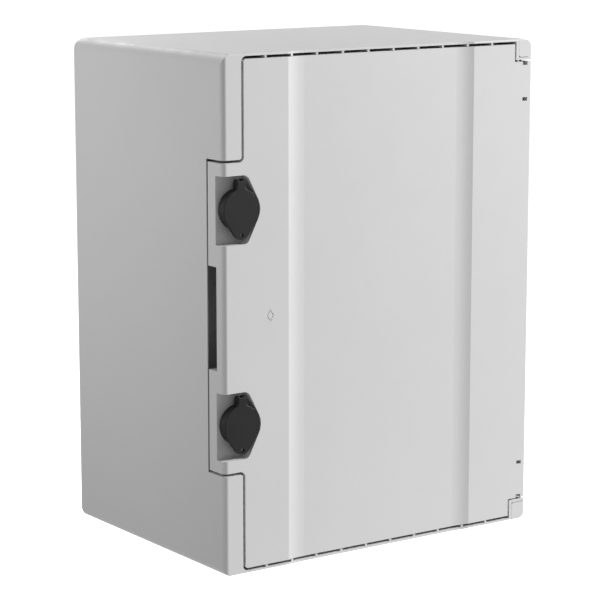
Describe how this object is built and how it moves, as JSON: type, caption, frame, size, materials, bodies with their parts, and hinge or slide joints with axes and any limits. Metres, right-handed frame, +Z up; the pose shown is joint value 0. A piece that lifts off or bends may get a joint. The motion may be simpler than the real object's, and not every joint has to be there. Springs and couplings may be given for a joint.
{
  "type": "dc combiner box",
  "caption": "Wall-mounted light grey plastic box with a hinged door, two black-capped turn locks and a side finger hold, fitted inside with fuses, surge arrester and switch.",
  "frame": {"origin": "centre of the flat back face, in the plane of the wall", "axes": "+Z up along the long side, +Y out of the back towards the wall, so the door faces -Y; +X towards the hinge side"},
  "size_m": [0.3, 0.224, 0.4238],
  "materials": {
    "enclosure_grey": "fine spark-eroded texture, light grey",
    "lock_black": "fine texture, black",
    "seal_rubber": "matte",
    "zinc_steel": "bright zinc plated",
    "dark_steel": "blackened",
    "zinc_cast": "satin plated die casting",
    "device_grey": "moulded, mid grey",
    "device_white": "moulded, off-white",
    "cartridge": "moulded, dark grey",
    "terminal_beige": "moulded, grey-beige",
    "knob_red": "moulded, signal red",
    "fuse_ceramic": "glazed ceramic barrel with plated ferrules",
    "copper": "tinned copper, warm tone",
    "brass": "bare brass",
    "gland_grey": "moulded polyamide, grey",
    "lead_red": "PVC insulation, red",
    "lead_black": "PVC insulation, black",
    "lead_earth": "PVC insulation, green"
  },
  "bodies": {
    "box": {"enclosure_body": "enclosure_grey", "hinge_caps": "enclosure_grey", "mounting_plate": "zinc_steel", "plate_screws": "zinc_steel", "upper_din_rail": "zinc_steel", "lower_din_rail": "zinc_steel", "rail_screws": "zinc_steel", "fuse_bases": "device_grey", "positive_comb": "copper", "negative_comb": "copper", "positive_leads": "lead_red", "negative_leads": "lead_black", "earth_lead": "lead_earth", "surge_arrester_base": "device_white", "switch_body": "device_white", "terminal_blocks": "terminal_beige", "clamp_screws": "zinc_steel", "end_stops": "device_grey", "earth_bar_supports": "device_grey", "earth_bar": "brass", "earth_bar_screws": "brass", "gland_bodies": "gland_grey", "gland_caps": "gland_grey", "gland_seals": "seal_rubber", "gland_nuts": "gland_grey", "vent_plug": "gland_grey", "vent_nut": "gland_grey"},
    "door": {"door_panel": "enclosure_grey", "door_gasket": "seal_rubber", "lock_housings": "lock_black", "lock_nuts": "zinc_steel", "lock_cover_pins": "dark_steel"},
    "upper_pin": {"upper_hinge_pin": "dark_steel"},
    "lower_pin": {"lower_hinge_pin": "dark_steel"},
    "upper_cover": {"upper_lock_cover": "lock_black"},
    "lower_cover": {"lower_lock_cover": "lock_black"},
    "upper_lock": {"upper_lock_barrel": "zinc_cast", "upper_lock_cam": "zinc_steel", "upper_cam_screw": "zinc_steel"},
    "lower_lock": {"lower_lock_barrel": "zinc_cast", "lower_lock_cam": "zinc_steel", "lower_cam_screw": "zinc_steel"},
    "knob": {"switch_knob": "knob_red"},
    "fuse_1": {"fuse_carrier_1": "device_grey", "fuse_link_1": "fuse_ceramic"},
    "fuse_2": {"fuse_carrier_2": "device_grey", "fuse_link_2": "fuse_ceramic"},
    "fuse_3": {"fuse_carrier_3": "device_grey", "fuse_link_3": "fuse_ceramic"},
    "fuse_4": {"fuse_carrier_4": "device_grey", "fuse_link_4": "fuse_ceramic"},
    "cartridge_1": {"surge_cartridge_1": "cartridge"},
    "cartridge_2": {"surge_cartridge_2": "cartridge"},
    "cartridge_3": {"surge_cartridge_3": "cartridge"}
  },
  "joints": [
    {"name": "door_swing", "type": "hinge", "parent": "box", "child": "door", "pos_m": [0.142, -0.216, 0], "axis": [0, 0, 1], "range_deg": [0, 180]},
    {"name": "upper_pin_slide", "type": "slide", "parent": "door", "child": "upper_pin", "axis": [0, 0, -1], "range_m": [0, 0.012]},
    {"name": "lower_pin_slide", "type": "slide", "parent": "door", "child": "lower_pin", "axis": [0, 0, 1], "range_m": [0, 0.012]},
    {"name": "upper_lock_turn", "type": "hinge", "parent": "door", "child": "upper_lock", "pos_m": [-0.1326, -0.214, 0.083], "axis": [0, 1, 0], "range_deg": [0, 90]},
    {"name": "upper_cover_tilt", "type": "hinge", "parent": "door", "child": "upper_cover", "pos_m": [-0.1326, -0.2203, 0.103], "axis": [-1, 0, 0], "range_deg": [0, 110]},
    {"name": "lower_lock_turn", "type": "hinge", "parent": "door", "child": "lower_lock", "pos_m": [-0.1326, -0.214, -0.083], "axis": [0, 1, 0], "range_deg": [0, 90]},
    {"name": "lower_cover_tilt", "type": "hinge", "parent": "door", "child": "lower_cover", "pos_m": [-0.1326, -0.2203, -0.063], "axis": [-1, 0, 0], "range_deg": [0, 110]},
    {"name": "fuse_1_tilt", "type": "hinge", "parent": "box", "child": "fuse_1", "pos_m": [-0.069, -0.0715, 0.063], "axis": [1, 0, 0], "range_deg": [0, 80]},
    {"name": "fuse_2_tilt", "type": "hinge", "parent": "box", "child": "fuse_2", "pos_m": [-0.0513, -0.0715, 0.063], "axis": [1, 0, 0], "range_deg": [0, 80]},
    {"name": "fuse_3_tilt", "type": "hinge", "parent": "box", "child": "fuse_3", "pos_m": [-0.0336, -0.0715, 0.063], "axis": [1, 0, 0], "range_deg": [0, 80]},
    {"name": "fuse_4_tilt", "type": "hinge", "parent": "box", "child": "fuse_4", "pos_m": [-0.0159, -0.0715, 0.063], "axis": [1, 0, 0], "range_deg": [0, 80]},
    {"name": "cartridge_1_pull", "type": "slide", "parent": "box", "child": "cartridge_1", "axis": [0, -1, 0], "range_m": [0, 0.04]},
    {"name": "cartridge_2_pull", "type": "slide", "parent": "box", "child": "cartridge_2", "axis": [0, -1, 0], "range_m": [0, 0.04]},
    {"name": "cartridge_3_pull", "type": "slide", "parent": "box", "child": "cartridge_3", "axis": [0, -1, 0], "range_m": [0, 0.04]},
    {"name": "switch_turn", "type": "hinge", "parent": "box", "child": "knob", "pos_m": [0.034, -0.0735, -0.05], "axis": [0, -1, 0], "range_deg": [0, 90]}
  ]
}
